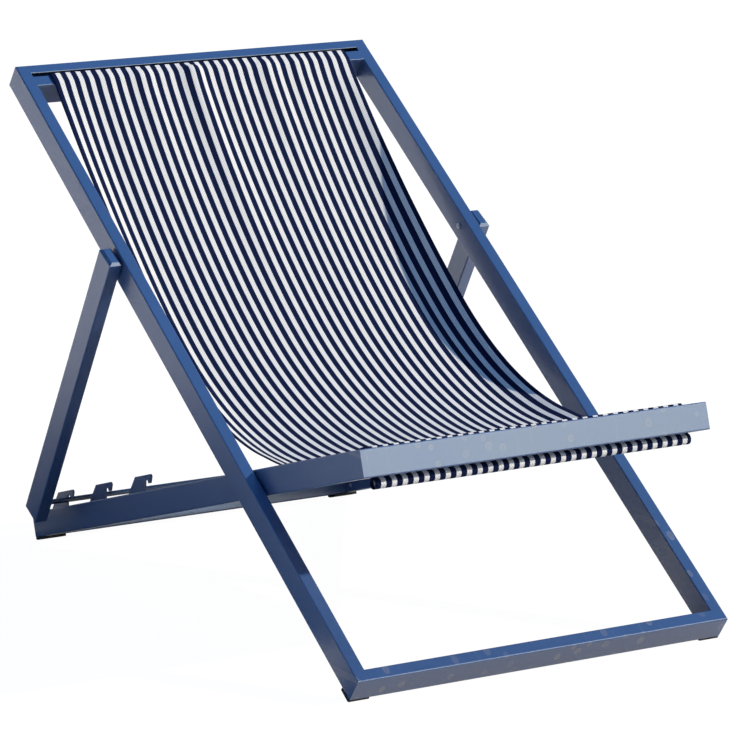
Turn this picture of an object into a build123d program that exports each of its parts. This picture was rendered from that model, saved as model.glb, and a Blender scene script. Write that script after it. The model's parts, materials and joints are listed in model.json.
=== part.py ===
"""Folding deck chair with a sling seat.

Three steel-tube frames hinge on each other. The long main frame leans back, the seat frame
crosses it and the prop frame stands behind it. The rod of the prop frame rests in one of
three hooks on each side of the seat frame. A cloth sling hangs between the main frame's top
rail and the seat frame's front rail.

Millimetres. The front faces -Y, up is +Z, the sitter's left is +X, and the origin is at the
middle of the footprint, on the floor.
"""

import os
from math import cos, radians, sin

from build123d import *

os.makedirs("parts", exist_ok=True)

# ---------------------------------------------------------------- driving dimensions
recline = 35.04  # slope of the main frame above the floor
seat_slope = 17.29  # slope of the seat frame, falling to the rear
prop_slope = 60.07  # slope of the prop legs

tube_deep = 40.0  # every tube's long side
tube_wide = 20.0  # every tube's short side
wall = 1.2
corner = 2.0  # outer corner radius of the tubes
core = 0.6  # inner corner radius of the tubes

main_length = 1245.0
main_half = 310.0  # half the outer width
main_top_wide = 45.5  # the slotted top rail, measured up the frame

seat_length = 1041.5
seat_half = 287.5
seat_front_wide = 45.0

prop_length = 517.5
prop_gap = 2.0  # between each leg and the main frame

main_foot_y = -521.14  # front edge of the main frame's lower end
main_foot_z = 34.74
seat_pivot_on_main = 383.4  # distances up the main frame
prop_pivot_on_main = 835.2
seat_pivot_on_seat = 310.3  # from the seat frame's front end
prop_pivot_on_prop = 15.0  # from the legs' top end
rod_from_prop_pivot = 482.4

slot_wide = 8.0
slot_bevel = 0.7
main_slot_half = 290.0
main_slot_at = 1223.6
seat_slot_half = 265.0
seat_slot_at = 22.1

cloth_half = 262.5
cloth = 1.2
bend = 2.7  # radius of the cloth's middle where it turns into a slot
hem_out = 8.0
hem_in = 6.6
hem_drop = 8.25  # hem centre behind the rail's far face
hem_rod_radius = 6.0
hem_rod_half = 258.0

rod_radius = 4.0
hook_thick = 3.0
hook_pitch = 134.0
hook_front_from_rod = 8.2  # base of the hook's front edge, behind the rod's centre

seat_bolt_radius = 4.0
prop_bolt_radius = 3.0
running = 0.05  # radial running clearance of a bush on its bolt

foot_pad_thick = 4.5
seat_pad_thick = 4.0


# ---------------------------------------------------------------- frames of reference
def direction(angle):
    return Vector(0, cos(radians(angle)), sin(radians(angle)))


main_up = direction(recline)
main_out = direction(recline + 90)
seat_back = direction(-seat_slope)
seat_up = direction(90 - seat_slope)
prop_down = direction(-prop_slope)
prop_back = direction(90 - prop_slope)

main_origin = Vector(0, main_foot_y, main_foot_z)
middle = tube_deep / 2
seat_pivot = main_origin + main_up * seat_pivot_on_main - main_out * middle
prop_pivot = main_origin + main_up * prop_pivot_on_main - main_out * middle
seat_origin = seat_pivot - seat_back * seat_pivot_on_seat + seat_up * middle
prop_origin = prop_pivot - prop_down * prop_pivot_on_prop - prop_back * middle
rod_centre = prop_pivot + prop_down * rod_from_prop_pivot
rod_along_seat = (rod_centre - seat_origin).dot(seat_back)
rod_over_seat = (rod_centre - seat_origin).dot(seat_up)

main_plane = Plane(main_origin, x_dir=(1, 0, 0), z_dir=main_out)
seat_plane = Plane(seat_origin, x_dir=(1, 0, 0), z_dir=seat_up)
prop_plane = Plane(prop_origin, x_dir=(1, 0, 0), z_dir=prop_back)


def on_main(along, behind):
    """(y, z) of a point up the main frame, and behind its front face."""
    at = main_origin + main_up * along - main_out * behind
    return at.Y, at.Z


def on_seat(along, below):
    """(y, z) of a point back along the seat frame, and below its top face."""
    at = seat_origin + seat_back * along - seat_up * below
    return at.Y, at.Z


def across(x, centre):
    """A plane across X through a (y, z) point, with +X as its normal."""
    return Plane((x, centre[0], centre[1]), x_dir=(0, 1, 0), z_dir=(1, 0, 0))


prop_leg_inner = main_half + prop_gap
prop_leg_outer = prop_leg_inner + tube_wide
seat_pivot_yz = (seat_pivot.Y, seat_pivot.Z)
prop_pivot_yz = (prop_pivot.Y, prop_pivot.Z)


# ---------------------------------------------------------------- shared features
def tube(plane, outline, core_centre, core_size, along):
    """A hollow mitred rail in the active part. The outline lies in the frame's plane."""
    with BuildSketch(plane) as face:
        with BuildLine():
            Polyline(*outline, close=True)
        make_face()
    extrude(face.sketch, amount=-tube_deep)
    long_edges = edges().filter_by(lambda e: abs(e.tangent_at(0.5).dot(along)) > 0.999)
    fillet(long_edges, corner)
    with BuildSketch(plane.offset(-wall)) as hollow:
        with Locations(core_centre):
            RectangleRounded(*core_size, core)
    extrude(hollow.sketch, amount=-(tube_deep - 2 * wall), mode=Mode.SUBTRACT)


def bore(centre, radius, start, end):
    """A hole along X between two stations."""
    low, high = min(start, end), max(start, end)
    with BuildSketch(across(low, centre)) as hole:
        Circle(radius)
    extrude(hole.sketch, amount=high - low, mode=Mode.SUBTRACT)


def disc(centre, radius, start, end, hole=0.0):
    """A round piece along X between two stations, with an optional hole."""
    low, high = min(start, end), max(start, end)
    with BuildSketch(across(low, centre)) as ring:
        Circle(radius)
        if hole:
            Circle(hole, mode=Mode.SUBTRACT)
    extrude(ring.sketch, amount=high - low)


def slot_through(plane, along, half, deep):
    """A long slot through both faces of a rail, bevelled on the outside."""
    for level, way in ((0.0, -1), (-deep, 1)):
        with BuildSketch(plane.offset(level)) as opening:
            with Locations((0, along)):
                Rectangle(2 * half, slot_wide)
        extrude(opening.sketch, amount=way * 2 * wall, mode=Mode.SUBTRACT)
        with BuildSketch(plane.offset(level)) as wide:
            with Locations((0, along)):
                Rectangle(2 * (half + slot_bevel), slot_wide + 2 * slot_bevel)
        extrude(wide.sketch, amount=way * slot_bevel, taper=44.9, mode=Mode.SUBTRACT)


def write(builder, name):
    builder.part.label = name
    export_step(builder.part, f"parts/{name}.step")


sides = ((1, "left"), (-1, "right"))

# ---------------------------------------------------------------- main frame tubes
inner = main_half - tube_wide
for side, name in sides:
    with BuildPart() as main_side_rail:
        tube(
            main_plane,
            [
                (side * main_half, 0),
                (side * main_half, main_length),
                (side * inner, main_length - main_top_wide),
                (side * inner, tube_wide),
            ],
            (side * (main_half - tube_wide / 2), main_length / 2),
            (tube_wide - 2 * wall, main_length + 20),
            main_up,
        )
        bore(prop_pivot_yz, 4.0, side * (inner - 5), side * (main_half + 1))
        bore(seat_pivot_yz, 6.0, side * (inner - 5), side * (inner + wall + 1))
    write(main_side_rail, f"main_{name}_rail")

with BuildPart() as main_bottom_rail:
    tube(
        main_plane,
        [(-main_half, 0), (main_half, 0), (inner, tube_wide), (-inner, tube_wide)],
        (0, tube_wide / 2),
        (2 * main_half + 20, tube_wide - 2 * wall),
        Vector(1, 0, 0),
    )
write(main_bottom_rail, "main_bottom_rail")

with BuildPart() as main_top_rail:
    tube(
        main_plane,
        [
            (-main_half, main_length),
            (main_half, main_length),
            (inner, main_length - main_top_wide),
            (-inner, main_length - main_top_wide),
        ],
        (0, main_length - main_top_wide / 2),
        (2 * main_half + 20, main_top_wide - 2 * wall),
        Vector(1, 0, 0),
    )
    slot_through(main_plane, main_slot_at, main_slot_half, tube_deep)
write(main_top_rail, "main_top_rail")

# ---------------------------------------------------------------- seat frame tubes
seat_inner = seat_half - tube_wide
for side, name in sides:
    with BuildPart() as seat_side_rail:
        tube(
            seat_plane,
            [
                (side * seat_half, 0),
                (side * seat_half, seat_length),
                (side * seat_inner, seat_length - tube_wide),
                (side * seat_inner, seat_front_wide),
            ],
            (side * (seat_half - tube_wide / 2), seat_length / 2),
            (tube_wide - 2 * wall, seat_length + 20),
            seat_back,
        )
        bore(seat_pivot_yz, 5.5, side * (seat_inner - 1), side * (seat_half + 1))
        bore(on_seat(1000, 29), 1.8, side * (seat_inner - 1), side * (seat_inner + 3))
    write(seat_side_rail, f"seat_{name}_rail")

with BuildPart() as seat_front_rail:
    tube(
        seat_plane,
        [
            (-seat_half, 0),
            (seat_half, 0),
            (seat_inner, seat_front_wide),
            (-seat_inner, seat_front_wide),
        ],
        (0, seat_front_wide / 2),
        (2 * seat_half + 20, seat_front_wide - 2 * wall),
        Vector(1, 0, 0),
    )
    slot_through(seat_plane, seat_slot_at, seat_slot_half, tube_deep)
write(seat_front_rail, "seat_front_rail")

with BuildPart() as seat_rear_rail:
    tube(
        seat_plane,
        [
            (-seat_half, seat_length),
            (seat_half, seat_length),
            (seat_inner, seat_length - tube_wide),
            (-seat_inner, seat_length - tube_wide),
        ],
        (0, seat_length - tube_wide / 2),
        (2 * seat_half + 20, tube_wide - 2 * wall),
        Vector(1, 0, 0),
    )
write(seat_rear_rail, "seat_rear_rail")

# ---------------------------------------------------------------- prop frame
cap = 5.0  # height of the bevelled cap on each leg's top end
plug = 3.0
for side, name in sides:
    leg_x = side * (prop_leg_inner + tube_wide / 2)
    low_x, high_x = leg_x - tube_wide / 2, leg_x + tube_wide / 2
    with BuildPart() as prop_leg:
        with BuildSketch(prop_plane) as leg_face:
            with Locations((leg_x, (prop_length + cap - plug) / 2)):
                Rectangle(tube_wide, prop_length - cap - plug)
        extrude(leg_face.sketch, amount=tube_deep)
        fillet(
            edges().filter_by(lambda e: abs(e.tangent_at(0.5).dot(prop_down)) > 0.999),
            corner,
        )
        with BuildSketch(prop_plane.offset(wall)) as leg_hollow:
            with Locations((leg_x, prop_length / 2)):
                Rectangle(tube_wide - 2 * wall, prop_length + 20)
        extrude(leg_hollow.sketch, amount=tube_deep - 2 * wall, mode=Mode.SUBTRACT)
        inside = side * prop_leg_inner
        bore(prop_pivot_yz, 4.5, inside - side, inside + side * (wall + 1))
        bore((rod_centre.Y, rod_centre.Z), 4.02, inside - side, inside + side * (wall + 1))
    write(prop_leg, f"prop_{name}_leg")

end_plane = Plane(prop_origin, x_dir=(1, 0, 0), z_dir=-prop_down)
with BuildPart() as prop_top_caps:
    for side, _ in sides:
        leg_x = side * (prop_leg_inner + tube_wide / 2)
        with BuildSketch(end_plane.offset(-cap)) as cap_face:
            with Locations((leg_x, tube_deep / 2)):
                RectangleRounded(tube_wide, tube_deep, corner)
        extrude(cap_face.sketch, amount=1.2)
        with BuildSketch(end_plane.offset(1.2 - cap)) as cap_base:
            with Locations((leg_x, tube_deep / 2)):
                Rectangle(tube_wide - 0.6, tube_deep - 0.6)
        with BuildSketch(end_plane) as cap_top:
            with Locations((leg_x, tube_deep / 2)):
                Rectangle(tube_wide - 9.0, tube_deep - 9.0)
        loft(Sketch() + [cap_base.sketch, cap_top.sketch])
        with BuildSketch(end_plane.offset(-cap - 7)) as cap_neck:
            with Locations((leg_x, tube_deep / 2)):
                Rectangle(tube_wide - 2 * wall - 0.4, tube_deep - 2 * wall - 0.4)
                Rectangle(tube_wide - 4 * wall, tube_deep - 4 * wall, mode=Mode.SUBTRACT)
        extrude(cap_neck.sketch, amount=7)
        bore(prop_pivot_yz, 8.0, side * (prop_leg_inner - 1), side * (prop_leg_outer - 3))
write(prop_top_caps, "prop_top_caps")

with BuildPart() as prop_end_plugs:
    for side, _ in sides:
        leg_x = side * (prop_leg_inner + tube_wide / 2)
        with BuildSketch(end_plane.offset(-prop_length)) as plug_face:
            with Locations((leg_x, tube_deep / 2)):
                RectangleRounded(tube_wide, tube_deep, corner)
        extrude(plug_face.sketch, amount=plug)
        with BuildSketch(end_plane.offset(-prop_length + plug)) as plug_neck:
            with Locations((leg_x, tube_deep / 2)):
                Rectangle(tube_wide - 2 * wall - 0.4, tube_deep - 2 * wall - 0.4)
                Rectangle(tube_wide - 4 * wall, tube_deep - 4 * wall, mode=Mode.SUBTRACT)
        extrude(plug_neck.sketch, amount=8)
write(prop_end_plugs, "prop_end_plugs")

with BuildPart() as latch_rod:
    rod_end = prop_leg_inner + wall + 3
    disc((rod_centre.Y, rod_centre.Z), rod_radius, -rod_end, rod_end)
    chamfer(edges().filter_by(GeomType.CIRCLE), 0.6)
write(latch_rod, "latch_rod")

with BuildPart() as latch_rod_rings:
    for side, _ in sides:
        start = side * (prop_leg_inner + wall)
        disc((rod_centre.Y, rod_centre.Z), 6.5, start, start + side * 1.5, rod_radius)
write(latch_rod_rings, "latch_rod_rings")

# ---------------------------------------------------------------- recline hooks
hook_outline = [
    (0.0, 0.0),
    (-5.0, 15.0),
    (-8.0, 17.2),
    (-12.2, 16.8),
    (-14.6, 14.2),
    (-15.2, 10.6),
    (-21.0, 10.6),
    (-28.0, 21.0),
    (-24.5, 24.0),
    (25.0, 24.0),
    (51.5, 3.0),
    (54.0, 0.0),
]
for side, name in sides:
    with BuildPart() as hooks:
        for step in range(3):
            base = rod_along_seat + hook_front_from_rod - step * hook_pitch
            y, z = on_seat(base, 0)
            low = seat_inner if side > 0 else -seat_inner - hook_thick
            plane = Plane((low, y, z), x_dir=seat_back, z_dir=(1, 0, 0))
            with BuildSketch(plane) as hook_face:
                with BuildLine():
                    Polyline(*hook_outline, close=True)
                make_face()
            extrude(hook_face.sketch, amount=hook_thick)
        upright = edges().filter_by(Axis.X)
        crown = upright.filter_by(
            lambda e: (e.center() - seat_origin).dot(seat_up) > 20.5
        )
        fillet(crown, 3.0)
    write(hooks, f"recline_hooks_{name}")

# ---------------------------------------------------------------- pivots
with BuildPart() as seat_pivot_bolts:
    for side, _ in sides:
        head = side * (seat_inner - 0.1)
        disc(seat_pivot_yz, 7.0, head, head - side * 4.3)
        disc(seat_pivot_yz, seat_bolt_radius, head, side * (inner + 12))
        bore(seat_pivot_yz, 2.4, head - side * 2.2, head - side * 5)
write(seat_pivot_bolts, "seat_pivot_bolts")

with BuildPart() as seat_pivot_bushes:
    for side, _ in sides:
        disc(
            seat_pivot_yz,
            5.5,
            side * seat_inner,
            side * seat_half,
            seat_bolt_radius + running,
        )
write(seat_pivot_bushes, "seat_pivot_bushes")

with BuildPart() as seat_pivot_washers:
    for side, _ in sides:
        disc(
            seat_pivot_yz,
            10.0,
            side * (seat_half + 0.2),
            side * inner,
            seat_bolt_radius + 0.1,
        )
write(seat_pivot_washers, "seat_pivot_washers")

with BuildPart() as seat_pivot_inserts:
    for side, _ in sides:
        disc(seat_pivot_yz, 6.0, side * inner, side * (inner + 13), seat_bolt_radius)
write(seat_pivot_inserts, "seat_pivot_inserts")

with BuildPart() as prop_pivot_bolts:
    for side, _ in sides:
        head = side * (inner - 0.1)
        disc(prop_pivot_yz, 4.5, head, head - side * 1.8)
        disc(prop_pivot_yz, prop_bolt_radius, head, side * (prop_leg_inner + 11))
        bore(prop_pivot_yz, 1.8, head - side * 0.9, head - side * 3)
write(prop_pivot_bolts, "prop_pivot_bolts")

with BuildPart() as prop_pivot_bushes:
    for side, _ in sides:
        disc(
            prop_pivot_yz,
            4.0,
            side * inner,
            side * main_half,
            prop_bolt_radius + running,
        )
write(prop_pivot_bushes, "prop_pivot_bushes")

with BuildPart() as prop_pivot_washers:
    for side, _ in sides:
        disc(
            prop_pivot_yz,
            8.0,
            side * main_half,
            side * (prop_leg_inner - 0.2),
            prop_bolt_radius + 0.1,
        )
write(prop_pivot_washers, "prop_pivot_washers")

with BuildPart() as prop_pivot_inserts:
    for side, _ in sides:
        disc(
            prop_pivot_yz,
            4.5,
            side * prop_leg_inner,
            side * (prop_leg_inner + 12),
            prop_bolt_radius,
        )
write(prop_pivot_inserts, "prop_pivot_inserts")

with BuildPart() as seat_side_screws:
    for side, _ in sides:
        centre = on_seat(1000, 29)
        disc(centre, 3.4, side * seat_inner, side * (seat_inner - 1.6))
        disc(centre, 1.8, side * seat_inner, side * (seat_inner + 8))
write(seat_side_screws, "seat_side_screws")

# ---------------------------------------------------------------- foot pads
floor_cut = Plane.XY
with BuildPart() as main_foot_pads:
    for side, _ in sides:
        with BuildSketch(main_plane.offset(-tube_deep)) as pad_face:
            with Locations((side * (main_half - 16), 12)):
                Rectangle(32, 24)
        extrude(pad_face.sketch, amount=-foot_pad_thick)
    split(bisect_by=floor_cut, keep=Keep.TOP)
write(main_foot_pads, "main_foot_pads")

with BuildPart() as seat_foot_pads:
    for side, _ in sides:
        with BuildSketch(seat_plane.offset(-tube_deep)) as pad_face:
            with Locations((side * (seat_half - 21), seat_length - 11)):
                Rectangle(42, 22)
        extrude(pad_face.sketch, amount=-seat_pad_thick)
    split(bisect_by=floor_cut, keep=Keep.TOP)
write(seat_foot_pads, "seat_foot_pads")

# ---------------------------------------------------------------- sling
cloth_at_main = main_slot_at - 2.1  # the cloth lies against the slot's lower edge
cloth_at_seat = seat_slot_at + 1.9
skin = cloth / 2 + 0.1
side_plane = Plane((-cloth_half, 0, 0), x_dir=(0, 1, 0), z_dir=(1, 0, 0))
hang = [  # (up the main frame, behind its front face) of the cloth's middle
    (1207, -1.3),
    (1201, -1.4),
    (1195, 0.3),
    (1185, 4.9),
    (1170, 11.0),
    (1150, 18.0),
    (1125, 26.0),
    (1100, 33.5),
    (1050, 47.0),
    (1000, 58.6),
    (950, 68.9),
    (900, 77.6),
    (850, 84.8),
    (800, 90.2),
    (750, 93.5),
    (700, 94.3),
    (650, 91.2),
    (600, 84.0),
    (550, 72.4),
    (500, 55.5),
    (450, 32.4),
]
lap = [  # (back along the seat frame, below its top face)
    (340.0, -16.3),
    (322.0, -9.7),
    (304.0, -3.2),
    (270.0, 7.5),
    (230.0, 16.0),
    (190.0, 20.5),
    (150.0, 20.8),
    (110.0, 16.8),
    (75.0, 9.0),
]
web_start = on_main(cloth_at_main - bend, -skin)
web_end = on_seat(seat_front_wide + 1.0, -skin)
web = Spline(
    web_start,
    *[on_main(*at) for at in hang],
    *[on_seat(*at) for at in lap],
    web_end,
)
web_steps = 100


def web_side(shift):
    """Points of one face of the hanging cloth, shifted from its middle."""
    points = []
    for n in range(web_steps + 1):
        way = web % (n / web_steps)
        points.append(web @ (n / web_steps) + Vector(-way.Y, way.X) * shift)
    return points


def cloth_side(shift):
    """One face of the sling, from behind the top rail to below the front rail."""
    turn = bend - shift
    first = on_main(cloth_at_main - shift, tube_deep + 0.3)
    second = on_main(cloth_at_main - shift, bend - skin)
    last = on_seat(cloth_at_seat + shift, tube_deep + 0.1)
    before = on_seat(cloth_at_seat + shift, bend - skin)
    entry = Line(first, second)
    over = RadiusArc(entry @ 1, on_main(cloth_at_main - bend, shift - skin), -turn)
    web_points = [over @ 1, *web_side(shift)[1:-1], on_seat(seat_front_wide + 1.0, shift - skin)]
    hanging = Spline(*web_points)
    flat = Line(hanging @ 1, on_seat(cloth_at_seat + bend, shift - skin))
    under = RadiusArc(flat @ 1, before, -turn)
    return entry, over, hanging, flat, under, Line(before, last)


with BuildPart() as sling:
    with BuildSketch(side_plane):
        with BuildLine():
            upper = cloth_side(-cloth / 2)
            lower = cloth_side(cloth / 2)
            Line(upper[0] @ 0, lower[0] @ 0)
            Line(upper[-1] @ 1, lower[-1] @ 1)
        make_face()
    extrude(amount=2 * cloth_half)
write(sling, "sling")

for where, name in (
    (on_main(main_slot_at, tube_deep + hem_drop), "head"),
    (on_seat(seat_slot_at, tube_deep + hem_drop), "front"),
):
    with BuildPart() as hem:
        disc(where, hem_out, -cloth_half, cloth_half, hem_in)
    write(hem, f"sling_{name}_hem")
    with BuildPart() as hem_rod:
        disc(where, hem_rod_radius, -hem_rod_half, hem_rod_half)
        chamfer(edges().filter_by(GeomType.CIRCLE), 0.8)
    write(hem_rod, f"sling_{name}_rod")

print("rod on the seat frame", round(rod_along_seat, 2), round(rod_over_seat, 2))
print("sling from slot to slot", round(web.length, 1))
for joint, at in (("seat pivot", seat_pivot), ("prop pivot", prop_pivot)):
    print(joint, round(at.Y, 3), round(at.Z, 3))
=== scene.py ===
"""Folding deck chair: the looks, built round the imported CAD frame. Metres, +Z up, front towards -Y."""

import json
import math

import bpy
import numpy as np
from mathutils import Matrix, Vector


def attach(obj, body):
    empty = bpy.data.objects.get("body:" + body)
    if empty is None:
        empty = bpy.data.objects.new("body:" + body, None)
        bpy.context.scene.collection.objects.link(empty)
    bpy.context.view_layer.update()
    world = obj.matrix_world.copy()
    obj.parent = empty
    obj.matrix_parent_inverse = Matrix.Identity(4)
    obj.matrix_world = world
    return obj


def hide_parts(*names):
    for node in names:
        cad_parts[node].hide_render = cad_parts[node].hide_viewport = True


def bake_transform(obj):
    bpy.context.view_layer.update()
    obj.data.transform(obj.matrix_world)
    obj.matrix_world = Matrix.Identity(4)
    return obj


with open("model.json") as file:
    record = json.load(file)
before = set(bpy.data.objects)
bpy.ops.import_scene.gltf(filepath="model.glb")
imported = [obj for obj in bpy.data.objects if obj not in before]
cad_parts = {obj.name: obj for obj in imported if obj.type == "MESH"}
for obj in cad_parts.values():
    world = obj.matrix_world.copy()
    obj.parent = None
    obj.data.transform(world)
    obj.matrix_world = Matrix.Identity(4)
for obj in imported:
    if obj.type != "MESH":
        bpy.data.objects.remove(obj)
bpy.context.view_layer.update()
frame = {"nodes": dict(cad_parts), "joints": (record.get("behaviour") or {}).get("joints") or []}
nodes = frame["nodes"]
scene = bpy.context.scene
MM = 0.001

# ---------------------------------------------------------------- camera
CAMERA_AT = (-3.04505, -5.04988, 1.63873)
CAMERA_AZIMUTH, CAMERA_ELEVATION, CAMERA_ROLL = -31.33, 12.51, 0.24  # degrees
CAMERA_LENS, CAMERA_SENSOR = 195.98, 36.0  # millimetres


def camera_axes(azimuth, elevation, roll):
    """(right, up, back) of a camera that looks at the object from these angles, in degrees."""
    a, e, r = (math.radians(angle) for angle in (azimuth, elevation, roll))
    back = Vector((math.sin(a) * math.cos(e), -math.cos(a) * math.cos(e), math.sin(e)))
    right = Vector((math.cos(a), math.sin(a), 0))
    up = back.cross(right)
    return (
        right * math.cos(r) + up * math.sin(r),
        up * math.cos(r) - right * math.sin(r),
        back,
    )


def add_camera():
    data = bpy.data.cameras.new("camera")
    data.sensor_width = CAMERA_SENSOR
    data.lens = CAMERA_LENS
    data.clip_end = 60.0
    camera = bpy.data.objects.new("camera", data)
    axes = Matrix(camera_axes(CAMERA_AZIMUTH, CAMERA_ELEVATION, CAMERA_ROLL)).transposed()
    camera.matrix_world = Matrix.Translation(CAMERA_AT) @ axes.to_4x4()
    scene.collection.objects.link(camera)
    scene.camera = camera


add_camera()
scene.view_settings.view_transform = "Standard"


# ---------------------------------------------------------------- node helpers
class Shader:
    """A new material's node tree, with short calls to fill it."""

    def __init__(self, name):
        self.material = bpy.data.materials.new(name)
        self.material.use_nodes = True
        self.tree = self.material.node_tree
        self.tree.nodes.clear()
        self.out = self.add("ShaderNodeOutputMaterial")

    def add(self, kind, **settings):
        """A new node, with settings such as its operation."""
        node = self.tree.nodes.new(kind)
        for name, value in settings.items():
            setattr(node, name, value)
        return node

    def put(self, node, socket, value):
        """Sets an input to a number or colour, or links it to another node's output."""
        target = node.inputs[socket]
        if isinstance(value, bpy.types.NodeSocket):
            self.tree.links.new(value, target)
        else:
            target.default_value = value

    def math(self, operation, a, b=None, c=None):
        node = self.add("ShaderNodeMath", operation=operation)
        for index, value in enumerate((a, b, c)):
            if value is not None:
                self.put(node, index, value)
        return node.outputs[0]

    def times(self, product, *factors):
        for factor in factors:
            product = self.math("MULTIPLY", product, factor)
        return product

    def smooth(self, value, low, high, to_low=0.0, to_high=1.0):
        """value, moved smoothly from low..high to to_low..to_high."""
        node = self.add("ShaderNodeMapRange", interpolation_type="SMOOTHSTEP")
        for socket, number in enumerate((value, low, high, to_low, to_high)):
            self.put(node, socket, number)
        return node.outputs[0]

    def mix(self, factor, a, b):
        node = self.add("ShaderNodeMix", data_type="RGBA")
        self.put(node, 0, factor)
        self.put(node, 6, a)
        self.put(node, 7, b)
        return node.outputs[2]

    def scaled(self, vector, scale):
        node = self.add("ShaderNodeMapping")
        self.put(node, "Vector", vector)
        self.put(node, "Scale", scale)
        return node.outputs[0]

    def split(self, vector):
        """The x, y and z of a vector."""
        node = self.add("ShaderNodeSeparateXYZ")
        self.put(node, 0, vector)
        return node.outputs

    def noise(self, vector, scale, detail=2.0, roughness=0.5):
        node = self.add("ShaderNodeTexNoise")
        self.put(node, "Vector", vector)
        self.put(node, "Scale", scale)
        self.put(node, "Detail", detail)
        self.put(node, "Roughness", roughness)
        return node.outputs["Fac"]

    def bump(self, height, distance, strength):
        node = self.add("ShaderNodeBump")
        self.put(node, "Height", height)
        self.put(node, "Distance", distance)
        self.put(node, "Strength", strength)
        return node.outputs[0]

    def principled(self, **sockets):
        node = self.add("ShaderNodeBsdfPrincipled")
        for name, value in sockets.items():
            self.put(node, name.replace("_", " "), value)
        self.put(self.out, 0, node.outputs[0])

    def place(self):
        """The object's own coordinates, in metres, which stay with a piece that moves."""
        return self.add("ShaderNodeTexCoord").outputs["Object"]


def colour(r, g, b):
    return (r, g, b, 1.0)


# ---------------------------------------------------------------- materials
DROP_CELLS = 36.0  # to the metre; a cell holds one drop or none
DROP_CHOSEN = 0.45  # a cell has a drop if its random number is over this
DROP_RADIUS, DROP_RADIUS_MORE = 0.13, 0.10  # of a cell: the least, and what chance adds
WET_TO, DRY_FROM = -0.42, -0.28  # y where the marks begin to fade, going back, and where they end


def dried_water(s, at):
    """(drops, runs), each from 0 to 1: round marks with a stronger ring, and upright streaks."""
    across, depth, up = s.split(at)
    near_front = s.smooth(depth, WET_TO, DRY_FROM, 1.0, 0.0)
    flat = s.add("ShaderNodeCombineXYZ")
    s.put(flat, 0, across)
    s.put(flat, 1, up)
    cells = s.add("ShaderNodeTexVoronoi", voronoi_dimensions="2D")
    s.put(cells, "Vector", flat.outputs[0])
    s.put(cells, "Scale", DROP_CELLS)
    chance = s.add("ShaderNodeSeparateColor")
    s.put(chance, "Color", cells.outputs["Color"])
    chosen = s.math("GREATER_THAN", chance.outputs[0], DROP_CHOSEN)
    radius = s.math("MULTIPLY_ADD", chance.outputs[1], DROP_RADIUS_MORE, DROP_RADIUS)
    inside = s.math("DIVIDE", cells.outputs["Distance"], radius)
    disc = s.smooth(inside, 0.86, 1.04, 1.0, 0.0)
    ring = s.times(s.smooth(inside, 0.55, 0.95), disc)
    mark = s.times(s.math("MULTIPLY_ADD", ring, 0.45, 0.55), disc)
    strength = s.smooth(chance.outputs[2], 0.0, 1.0, 0.35, 1.0)
    streaks = s.noise(s.scaled(at, (120.0, 4.0, 9.0)), 1.0)
    return (
        s.times(mark, chosen, strength, near_front),
        s.times(s.smooth(streaks, 0.56, 0.78), near_front),
    )


def frame_paint(name="frame_paint", shade_tone=1.0):
    """Satin blue paint, its blues times the given factor, which below 1 makes a darker copy that paints in
    shade: orange peel, a fine grain and dried water.
    """
    s = Shader(name)

    def blue(r, g, b):
        return colour(r * shade_tone, g * shade_tone, b * shade_tone)

    at = s.place()
    cloud = s.noise(at, 9.0, 3.0)
    grain = s.noise(at, 1400.0, 2.0, 0.7)
    peel = s.noise(at, 420.0)
    drops, runs = dried_water(s, at)

    base = s.mix(s.smooth(cloud, 0.3, 0.7), blue(0.0245, 0.062, 0.169), blue(0.029, 0.070, 0.186))
    base = s.mix(s.times(s.smooth(grain, 0.45, 0.75), 0.20), base, blue(0.075, 0.12, 0.25))
    base = s.mix(s.times(drops, 0.42), base, colour(0.30, 0.28, 0.24))
    base = s.mix(s.times(runs, 0.06), base, colour(0.30, 0.29, 0.27))
    rough = s.math("MULTIPLY_ADD", drops, 0.10, s.smooth(cloud, 0.2, 0.8, 0.36, 0.44))
    rough = s.math("MULTIPLY_ADD", peel, 0.16, s.math("SUBTRACT", rough, 0.08))
    s.principled(
        Base_Color=base,
        Roughness=rough,
        Specular_IOR_Level=0.5,
        Coat_Weight=1.0,
        Coat_Roughness=0.26,
        Normal=s.bump(s.math("MULTIPLY_ADD", grain, 0.35, peel), 0.16 * MM, 0.7),
    )
    return s.material


def rubber():
    """Black foot rubber, scuffed."""
    s = Shader("foot_rubber")
    at = s.place()
    grain = s.noise(at, 700.0, 3.0, 0.65)
    scuff = s.times(s.smooth(s.noise(at, 60.0, 4.0, 0.7), 0.55, 0.75), 0.5)
    s.principled(
        Base_Color=s.mix(scuff, colour(0.006, 0.006, 0.007), colour(0.03, 0.03, 0.032)),
        Roughness=s.math("MULTIPLY_ADD", grain, 0.2, 0.55),
        Normal=s.bump(grain, 0.2 * MM, 0.6),
    )
    return s.material


def nylon():
    """Dark blue moulded nylon."""
    s = Shader("nylon")
    at = s.place()
    grain = s.noise(at, 900.0)
    s.principled(
        Base_Color=s.mix(s.noise(at, 40.0), colour(0.010, 0.015, 0.034), colour(0.017, 0.024, 0.050)),
        Roughness=s.math("MULTIPLY_ADD", grain, 0.15, 0.4),
        Normal=s.bump(grain, 0.08 * MM, 0.5),
    )
    return s.material


def steel():
    """Zinc-plated fasteners, dulled, with turning marks about their axis along X."""
    s = Shader("fastener_steel")
    at = s.place()
    streak = s.noise(s.scaled(at, (2500.0, 120.0, 120.0)), 1.0)
    cloud = s.noise(at, 130.0, 3.0)
    s.principled(
        Base_Color=s.mix(cloud, colour(0.40, 0.42, 0.46), colour(0.66, 0.68, 0.72)),
        Metallic=0.9,
        Roughness=s.math("MULTIPLY_ADD", streak, 0.2, 0.28),
        Normal=s.bump(streak, 0.03 * MM, 0.4),
    )
    return s.material


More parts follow.
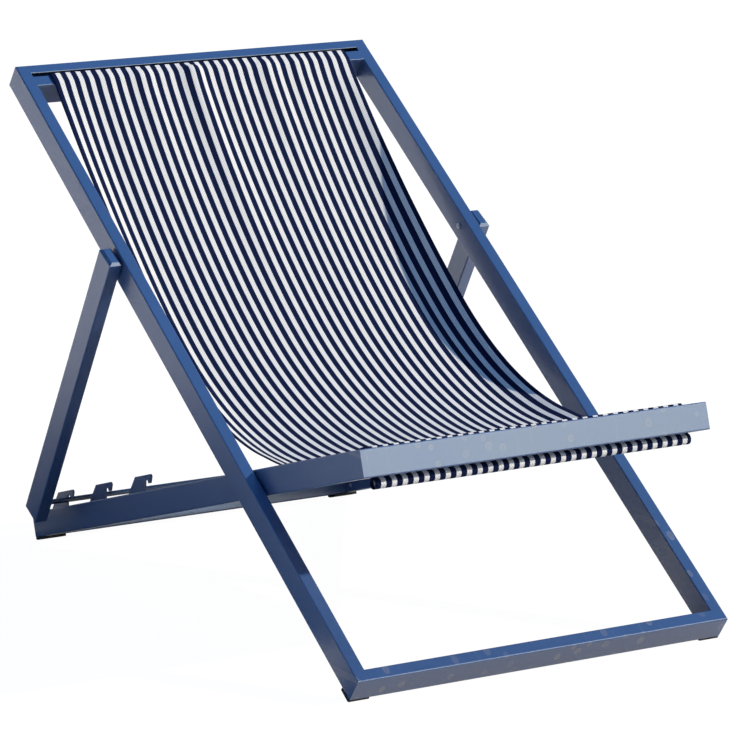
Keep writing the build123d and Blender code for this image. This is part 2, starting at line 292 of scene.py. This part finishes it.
CLOTH_HALF = 262.5 * MM
STRIPE_PITCH = 17.29 * MM
STRIPE_DARK = 9.3 * MM
STRIPE_MIDDLE = 1.2 * MM  # a dark stripe lies on this line, near the cloth's middle
STRIPE_WAVER = 0.7 * MM  # how far noise moves a stripe's edge, from one side to the other
STRIPE_BLUR = 0.25 * MM  # half the width over which an edge turns from dark to white
YARN = 2.0 * MM  # pitch of the weave's yarns


def sling_cloth():
    """Woven stripes: the stripes and the weave follow the cloth's own metres, across and along."""
    s = Shader("sling_cloth")
    own = s.add("ShaderNodeAttribute", attribute_name="cloth").outputs["Vector"]
    across, along = s.split(own)[:2]

    fuzz = s.noise(own, 650.0, 2.0, 0.6)
    edge = s.math("MULTIPLY_ADD", s.math("SUBTRACT", fuzz, 0.5), STRIPE_WAVER, across)
    off_middle = s.math("PINGPONG", s.math("SUBTRACT", edge, STRIPE_MIDDLE), STRIPE_PITCH / 2)
    dark = s.smooth(off_middle, STRIPE_DARK / 2 - STRIPE_BLUR, STRIPE_DARK / 2 + STRIPE_BLUR, 1.0, 0.0)

    # a plain canvas weave: each yarn goes over one and under the next; the grooves between yarns and the
    # lower yarns are darkened as painted shade
    warp = s.math("DIVIDE", across, YARN)
    weft = s.math("DIVIDE", along, YARN)
    round_warp = s.math("ABSOLUTE", s.math("SINE", s.times(warp, math.pi)))
    round_weft = s.math("ABSOLUTE", s.math("SINE", s.times(weft, math.pi)))
    cell = s.math("ADD", s.math("FLOOR", warp), s.math("FLOOR", weft))
    over = s.math("LESS_THAN", s.math("FRACT", s.times(cell, 0.5)), 0.25)
    raised = s.math("MULTIPLY_ADD", over, 0.45, 0.55)
    height = s.times(round_warp, raised, s.math("MULTIPLY_ADD", round_weft, 0.4, 0.6))
    groove_shade = s.smooth(height, 0.08, 0.62, 0.62, 0.0)
    under = s.times(s.math("SUBTRACT", 1.0, over), 0.42)

    yarn_tone = s.noise(s.scaled(own, (900.0, 26.0, 1.0)), 1.0)
    soil = s.noise(own, 7.0, 3.0, 0.6)
    white = s.mix(yarn_tone, colour(0.70, 0.695, 0.68), colour(0.785, 0.78, 0.765))
    white = s.mix(s.smooth(soil, 0.45, 0.8, 0.0, 0.10), white, colour(0.55, 0.55, 0.54))
    navy = s.mix(yarn_tone, colour(0.0050, 0.0095, 0.042), colour(0.0090, 0.017, 0.064))
    base = s.mix(dark, white, navy)
    # painted shade: greyer in the weave's grooves, and on each yarn where it lies low
    base = s.mix(groove_shade, base, s.mix(dark, colour(0.42, 0.42, 0.43), colour(0.003, 0.005, 0.02)))
    base = s.mix(under, base, s.mix(dark, colour(0.36, 0.37, 0.39), colour(0.002, 0.004, 0.016)))
    s.principled(
        Base_Color=base,
        Roughness=s.math("MULTIPLY_ADD", fuzz, 0.12, 0.78),
        Specular_IOR_Level=0.03,
        Sheen_Weight=0.006,
        Sheen_Roughness=0.5,
        Normal=s.bump(height, 0.28 * MM, 0.55),
    )
    return s.material


looks = {
    "frame_paint": frame_paint(),
    # the latch rod's copy at 0.4 of the blues is painted shade: the rod lies in shadow
    "rod_paint_shaded": frame_paint("rod_paint_shaded", 0.4),
    "foot_rubber": rubber(),
    "nylon": nylon(),
    "fastener_steel": steel(),
    "sling_cloth": sling_cloth(),
}


def look_of(name):
    """The look of a CAD node, by what the node is. The latch rod gets the darker copy of the paint, painted
    shade for the shadow that it lies in.
    """
    if name == "latch_rod":
        return "rod_paint_shaded"
    if name.startswith("sling") and not name.endswith("rod"):
        return "sling_cloth"
    if name.endswith("pads"):
        return "foot_rubber"
    if name.endswith(("bushes", "rings")):
        return "nylon"
    if name.endswith(("bolts", "washers", "inserts", "screws", "_rod")):
        return "fastener_steel"
    return "frame_paint"


for name, node in nodes.items():
    material = looks[look_of(name)]
    if not node.material_slots:
        node.data.materials.append(material)
    for slot in node.material_slots:
        slot.material = material

# ---------------------------------------------------------------- where the cloth goes
# The seat pivot is on the middle of both frames' rails; distances below are in millimetres.
pivot = next(joint for joint in frame["joints"] if joint["name"] == "seat_fold")["pos_m"]
PIVOT = np.array(pivot[1:])
RAIL_DEPTH = 40.0
PIVOT_UP_MAIN = 383.4
PIVOT_BACK_SEAT = 310.3
recline, seat_slope = math.radians(35.04), math.radians(17.29)
MAIN_UP = np.array([math.cos(recline), math.sin(recline)])
MAIN_OUT = np.array([-math.sin(recline), math.cos(recline)])
SEAT_BACK = np.array([math.cos(seat_slope), -math.sin(seat_slope)])
SEAT_UP = np.array([math.sin(seat_slope), math.cos(seat_slope)])


def on_main(along, behind):
    """(y, z) of a point up the main frame, and behind its front face."""
    return PIVOT + (MAIN_UP * (along - PIVOT_UP_MAIN) - MAIN_OUT * (behind - RAIL_DEPTH / 2)) * MM


def on_seat(along, below):
    """(y, z) of a point back along the seat frame, and below its top face."""
    return PIVOT + (SEAT_BACK * (along - PIVOT_BACK_SEAT) - SEAT_UP * (below - RAIL_DEPTH / 2)) * MM


CLOTH = 1.2
BEND = 2.7  # radius of the cloth's middle where it turns into a slot
LIFT = 2.4  # the cloth's middle stands this far off the rail where it turns over
TURN_OVER = range(15, 91, 15)  # degrees, from the slot to the rail's face
MAIN_SLOT, SEAT_SLOT = 1223.6, 22.1
MAIN_CLOTH, SEAT_CLOTH = MAIN_SLOT - 2.1, SEAT_SLOT + 1.9
HEM_RADIUS = 7.4
HEM_DEEP = RAIL_DEPTH + 8.25
HEM_TURN = range(-322, -37, 12)  # degrees round the rod
LAYER_GAP = 1.25  # from the cloth in a slot to its layer that is turned under
WAY_IN = (12, 18, 24, 30, 35, 38.5)  # depths in the slot, from the raw end to the rod
WAY_OUT = (38.5, 35, 30, 24, 18, 12, 6, 3, BEND - LIFT)  # and from the rod to the slot's mouth
SPLIT_DEPTH = 18  # where the head hem and the rest of the cloth meet
WEB_STEP = 5.5
HANG = [  # up the main frame, behind its front face
    (1210, -2.4),
    (1203, -1.9),
    (1195, 0.9),
    (1185, 5.3),
    (1170, 11.2),
    (1150, 18.1),
    (1125, 26.1),
    (1100, 33.5),
    (1050, 47.0),
    (1000, 58.6),
    (950, 68.9),
    (900, 77.6),
    (850, 84.8),
    (800, 90.2),
    (750, 93.5),
    (700, 94.3),
    (650, 91.2),
    (600, 84.0),
    (550, 72.4),
    (500, 55.5),
    (450, 32.4),
]
LAP = [  # back along the seat frame, below its top face
    (340, -16.3),
    (322, -9.7),
    (304, -3.2),
    (270, 7.5),
    (230, 16.0),
    (190, 20.5),
    (150, 20.8),
    (110, 16.8),
    (75, 9.0),
    (55, 1.8),
    (46, -1.3),
    (38, -2.3),
]


def smooth_curve(points, step):
    """Points about step metres apart on the natural cubic spline through points."""
    points = np.array(points)
    t = np.r_[0, np.cumsum(np.linalg.norm(np.diff(points, axis=0), axis=1))]
    h = np.diff(t)
    count = len(t)
    matrix, side = np.eye(count), np.zeros((count, 2))
    for i in range(1, count - 1):
        matrix[i, i - 1 : i + 2] = h[i - 1], 2 * (h[i - 1] + h[i]), h[i]
        side[i] = 6 * ((points[i + 1] - points[i]) / h[i] - (points[i] - points[i - 1]) / h[i - 1])
    bent = np.linalg.solve(matrix, side)
    out = []
    for at in np.linspace(0, t[-1], round(t[-1] / step) + 1):
        i = min(int(np.searchsorted(t, at, side="right")) - 1, count - 2)
        a, b, w = t[i + 1] - at, at - t[i], h[i]
        out.append(
            (bent[i] * a**3 + bent[i + 1] * b**3) / (6 * w)
            + (points[i] / w - bent[i] * w / 6) * a
            + (points[i + 1] / w - bent[i + 1] * w / 6) * b
        )
    return np.array(out)


def hem_loop(place, slot, cloth, way):
    """The hem, from the raw end in the slot, round the rod and back to where the cloth leaves it.

    place is on_main or on_seat, and way is 1 or -1, the side of the slot on which the cloth lies."""
    run = [place(cloth - way * LAYER_GAP, deep) for deep in WAY_IN]
    for degrees in HEM_TURN:
        turn = math.radians(degrees)
        across = slot + way * HEM_RADIUS * math.sin(turn)
        run.append(place(across, HEM_DEEP - HEM_RADIUS * math.cos(turn)))
    run += [place(cloth, deep) for deep in WAY_OUT]
    return run


def turn_over(place, cloth, way):
    """The cloth's quarter turn from the slot onto the rail's front or top face."""
    centre = cloth + way * BEND
    return [
        place(centre - way * BEND * math.cos(a), BEND - LIFT - BEND * math.sin(a))
        for a in np.radians(TURN_OVER)
    ]


head = hem_loop(on_main, MAIN_SLOT, MAIN_CLOTH, -1) + turn_over(on_main, MAIN_CLOTH, -1)
front = hem_loop(on_seat, SEAT_SLOT, SEAT_CLOTH, 1) + turn_over(on_seat, SEAT_CLOTH, 1)
web = smooth_curve(
    [head[-1], *(on_main(*at) for at in HANG), *(on_seat(*at) for at in LAP), front[-1]],
    WEB_STEP * MM,
)
line = np.array([*head, *web[1:-1], *front[::-1]])
gaps = np.linalg.norm(np.diff(line, axis=0), axis=1)
length_along = np.r_[0, np.cumsum(gaps)]
web_from, web_to = length_along[len(head) - 1], length_along[len(head) + len(web) - 2]
web_length = web_to - web_from
print("cloth, raw end to raw end", round(length_along[-1], 4), "between the slots", round(web_length, 4))

# ---------------------------------------------------------------- the cloth itself
ways = np.gradient(line, axis=0)
ways /= np.linalg.norm(ways, axis=1)[:, None]
facing = np.stack([ways[:, 1], -ways[:, 0]], axis=1)  # the side that is sat on


def bell(value, middle, width):
    return np.exp(-(((value - middle) / width) ** 2))


def ramp(value, low, high):
    t = np.clip((value - low) / (high - low), 0, 1)
    return t * t * (3 - 2 * t)


FOLDS = [  # across at the top, drift across per metre down, width, height, reach down the cloth
    (-170, 10, 15, 1.2, 180),
    (-110, 10, 16, 2.8, 210),
    (-22, 25, 15, 7.2, 300),
    (32, 40, 14, 1.2, 200),
    (110, 10, 15, 3.4, 230),
    (165, 10, 13, 2.0, 160),
]
FOLD_WIDENS = 400  # down the cloth to where a fold would be twice as wide
SLACK = 0.45  # height of the slack's long, shallow waves
SELVEDGE, SELVEDGE_WIDE = 246, 15  # across, where the edge's own small waves begin, and their width
SELVEDGE_SLACK = 0.8
LEAN = 0.02  # the cloth hangs a little askew: forward by this share of the way across


def relief(across, down):
    """How far the cloth stands off its smooth shape, in metres: soft folds from the slot, and slack."""
    down_mm, across_mm = down / MM, across / MM
    left_mm = web_length / MM - down_mm
    out = 0.0
    for at, drift, width, height, reach in FOLDS:
        fade = np.exp(-((np.maximum(down_mm, 0) / reach) ** 2))
        wide = width * (1 + down_mm / FOLD_WIDENS)
        out = out + height * fade * bell(across_mm, at + drift * down, wide)
    free = ramp(down_mm, 60, 320) * ramp(left_mm, 140, 330)
    waves = np.sin(across_mm / 41.0 + 0.6 * np.sin(down_mm / 170)) * np.sin(down_mm / 210 + 0.4)
    at_edge = np.clip((np.abs(across_mm) - SELVEDGE) / SELVEDGE_WIDE, 0, 1) ** 2
    out = out + free * (SLACK * waves + SELVEDGE_SLACK * at_edge * np.sin(down_mm / 95 + 1.0))
    held = ramp(down_mm, 1.0, 14.0) * ramp(left_mm, 40, 90)
    lean = LEAN * across_mm * np.sin(math.pi * np.clip(down / web_length, 0, 1))
    return (out * held + lean) * MM


CURL_FROM = 200.0  # the cloth's edges, tighter than its middle, curl forward from here outwards
CURL_POWER = 1.9
CURL_DRAWS_IN = 0.08  # an edge comes inwards by this share of its height
CURL_SMOOTHING = (-30, -15, 0, 15, 30)  # down the cloth, the places whose heights are averaged
CURL = [  # down the cloth from the top slot, height of the edge over the middle
    (0, 0.0),
    (20, 0.0),
    (60, 6.5),
    (100, 9.5),
    (150, 12.5),
    (220, 17.0),
    (345, 23.0),
    (445, 24.0),
    (520, 21.0),
    (655, 15.5),
    (775, 13.0),
    (870, 12.0),
    (1000, 7.0),
    (1080, 0.5),
    (1400, 0.0),
]


def curl(across, down):
    """How far the cloth's edges stand forward of its middle, in metres."""
    reach = np.clip((np.abs(across / MM) - CURL_FROM) / (CLOTH_HALF / MM - CURL_FROM), 0, 1)
    heights = [np.interp(down / MM + slip, *zip(*CURL)) for slip in CURL_SMOOTHING]
    return sum(heights) / len(heights) * ramp(down / MM, 2, 40) * reach**CURL_POWER * MM


COLUMNS = 129
columns = np.linspace(-CLOTH_HALF, CLOTH_HALF, COLUMNS)
down = (length_along - web_from)[:, None]
on_web = ((length_along >= web_from) & (length_along <= web_to))[:, None]
curled = np.where(on_web, curl(columns[None, :], down), 0.0)
stand_off = np.where(on_web, relief(columns[None, :], down), 0.0) + curled
surface = np.zeros((len(line), COLUMNS, 3))
surface[:, :, 0] = columns - np.sign(columns)[None, :] * curled * CURL_DRAWS_IN
surface[:, :, 1:] = line[:, None, :] + stand_off[:, :, None] * facing[:, None, :]


def cloth_piece(name, first, last):
    """The rows first to last of the cloth's surface, as a solid piece of the cloth's thickness."""
    count = last - first + 1
    index = np.arange(count * COLUMNS).reshape(count, COLUMNS)
    corners = [index[:-1, :-1], index[1:, :-1], index[1:, 1:], index[:-1, 1:]]
    quads = np.stack(corners, axis=-1).reshape(-1, 4)
    mesh = bpy.data.meshes.new(name)
    mesh.from_pydata(surface[first : last + 1].reshape(-1, 3).tolist(), [], quads.tolist())
    own = mesh.attributes.new("cloth", "FLOAT_VECTOR", "POINT")
    values = np.zeros((count, COLUMNS, 3))
    values[:, :, 0] = columns
    values[:, :, 1] = length_along[first : last + 1, None]
    own.data.foreach_set("vector", values.ravel())
    mesh.shade_smooth()
    mesh.materials.append(looks["sling_cloth"])
    piece = bpy.data.objects.new(name, mesh)
    scene.collection.objects.link(piece)

    thick = piece.modifiers.new("thickness", "SOLIDIFY")
    thick.thickness = CLOTH * MM
    thick.offset = 0.0
    thick.use_even_offset = True
    bpy.context.view_layer.update()
    depsgraph = bpy.context.evaluated_depsgraph_get()
    solid = bpy.data.meshes.new_from_object(piece.evaluated_get(depsgraph), depsgraph=depsgraph)
    solid.name = name + "_solid"
    piece.modifiers.clear()
    piece.data = solid
    return piece


# The hem behind the top rail stays with that rail. The rest starts inside the rail's slot, and runs between
# the main frame and the seat frame.
split_row = len(WAY_IN) + len(HEM_TURN) + WAY_OUT.index(SPLIT_DEPTH)
head_hem = cloth_piece("sling_head_hem_cloth", 0, split_row)
fabric = cloth_piece("sling_fabric", split_row, len(line) - 1)
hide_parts("sling_head_hem")
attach(head_hem, "main_frame")
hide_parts("sling", "sling_front_hem")
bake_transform(fabric)


# ---------------------------------------------------------------- floor and light
def plane(name, size, height, look):
    """A square of floor, which is no part of the object."""
    data = bpy.data.meshes.new(name)
    h = size / 2
    corners = [(-h, -h, height), (h, -h, height), (h, h, height), (-h, h, height)]
    data.from_pydata(corners, [], [(0, 1, 2, 3)])
    data.materials.append(look)
    made = bpy.data.objects.new(name, data)
    scene.collection.objects.link(made)
    return made


def floor_look(name, glow, shadow_dim=1.0):
    """A floor that glows by the share glow, and is matt for the rest; its matt colour holds painted shadow,
    darker round the chair down to the given darkest value.
    """
    s = Shader(name)
    half_shadow_dim = 0.5 + shadow_dim / 2
    # painted shadow: the matt colour darkens in these zones round the chair
    shadow_zones = (  # middle, radius where it is darkest, radius where it ends, how dark
        ((-0.5, 0.8, 0.0), 0.25, 1.3, shadow_dim),
        ((-0.12, 0.2, 0.0), 0.1, 0.5, half_shadow_dim),
        ((-0.05, -0.5, 0.0), 0.2, 0.8, half_shadow_dim),
    )
    shade_tone = 1.0
    for middle, inner, outer, least in shadow_zones:
        away = s.add("ShaderNodeVectorMath", operation="DISTANCE")
        s.put(away, 0, s.place())
        s.put(away, 1, middle)
        shade_tone = s.times(shade_tone, s.smooth(away.outputs["Value"], inner, outer, least, 1.0))
    diffuse = s.add("ShaderNodeBsdfDiffuse")
    s.put(diffuse, 0, s.mix(shade_tone, colour(0, 0, 0), colour(0.93, 0.90, 0.85)))
    light = s.add("ShaderNodeEmission")
    s.put(light, 0, colour(1.0, 1.0, 1.0))
    s.put(light, 1, 1.04)
    mixed = s.add("ShaderNodeMixShader")
    s.put(mixed, 0, glow)
    s.put(mixed, 1, diffuse.outputs[0])
    s.put(mixed, 2, light.outputs[0])
    s.put(s.out, 0, mixed.outputs[0])
    return s.material


# The floor that is seen is pale and nearly free of shadow; one just below it, with painted shadow round the
# chair in its colour, lights the object.
seen_floor = plane("floor", 60.0, -0.3 * MM, floor_look("floor_seen", 0.94))
for ray in ("visible_diffuse", "visible_glossy", "visible_transmission", "visible_shadow"):
    setattr(seen_floor, ray, False)
lit_floor = plane("floor_light", 40.0, -1.0 * MM, floor_look("floor_lit", 0.0, 0.43))
lit_floor.visible_camera = False

SKY = (  # height of the direction, 0 at the horizon and 1 overhead, and colour
    (0.0, colour(0.20, 0.24, 0.28)),
    (0.35, colour(0.18, 0.22, 0.285)),
    (0.9, colour(0.075, 0.27, 0.66)),
)


def add_world():
    """White where the camera sees it, and a blue sky for all that it lights."""
    world = bpy.data.worlds.new("studio")
    scene.world = world
    world.use_nodes = True
    tree = world.node_tree
    tree.nodes.clear()
    out = tree.nodes.new("ShaderNodeOutputWorld")
    sky = tree.nodes.new("ShaderNodeBackground")
    white = tree.nodes.new("ShaderNodeBackground")
    white.inputs[0].default_value = colour(1.0, 1.0, 1.0)
    ray = tree.nodes.new("ShaderNodeLightPath")
    both = tree.nodes.new("ShaderNodeMixShader")
    direction = tree.nodes.new("ShaderNodeTexCoord")
    parts = tree.nodes.new("ShaderNodeSeparateXYZ")
    tint = tree.nodes.new("ShaderNodeValToRGB")
    stops = tint.color_ramp.elements
    stops.remove(stops[1])
    stops[0].position, stops[0].color = SKY[0]
    for height, shade in SKY[1:]:
        stops.new(height).color = shade
    tree.links.new(direction.outputs["Generated"], parts.inputs[0])
    tree.links.new(parts.outputs[2], tint.inputs[0])
    tree.links.new(tint.outputs[0], sky.inputs[0])
    tree.links.new(ray.outputs["Is Camera Ray"], both.inputs[0])
    tree.links.new(sky.outputs[0], both.inputs[1])
    tree.links.new(white.outputs[0], both.inputs[2])
    tree.links.new(both.outputs[0], out.inputs[0])


def aim(thing, towards):
    """Turns a light so that it shines from the direction towards."""
    thing.rotation_euler = Vector(towards).to_track_quat("Z", "Y").to_euler()


def add_sun(towards, energy, tint, degrees):
    """The sun. It makes no gloss: its glint would burn out the rails' top faces, seen from behind."""
    data = bpy.data.lights.new("key", "SUN")
    data.energy = energy
    data.color = tint
    data.angle = math.radians(degrees)
    sun = bpy.data.objects.new("key", data)
    scene.collection.objects.link(sun)
    aim(sun, towards)
    sun.visible_glossy = False


PANEL_AWAY = 4.0
PANELS_FACE = Vector((0, -0.45, 0.33))  # a point over the chair's front rail


def soft_box(name, towards, width, height, energy, tint):
    """A panel, seen only in gloss, in the direction towards from the chair's front."""
    data = bpy.data.lights.new(name, "AREA")
    data.shape = "RECTANGLE"
    data.size, data.size_y = width, height
    data.energy = energy
    data.color = tint
    made = bpy.data.objects.new(name, data)
    scene.collection.objects.link(made)
    way = Vector(towards).normalized()
    made.location = way * PANEL_AWAY + PANELS_FACE
    aim(made, way)
    made.visible_diffuse = False
    made.visible_camera = False


add_world()
add_sun(towards=(0.735, -0.442, 0.514), energy=5.3, tint=(1.0, 0.92, 0.79), degrees=1.6)
soft_box("front_glow", (0.507, -0.808, 0.294), 2.6, 1.3, 50.0, (1.03, 1.08, 0.89))
soft_box("edge_glow", (0.507, -0.643, 0.60), 2.4, 0.45, 60.0, (1.0, 1.0, 1.0))
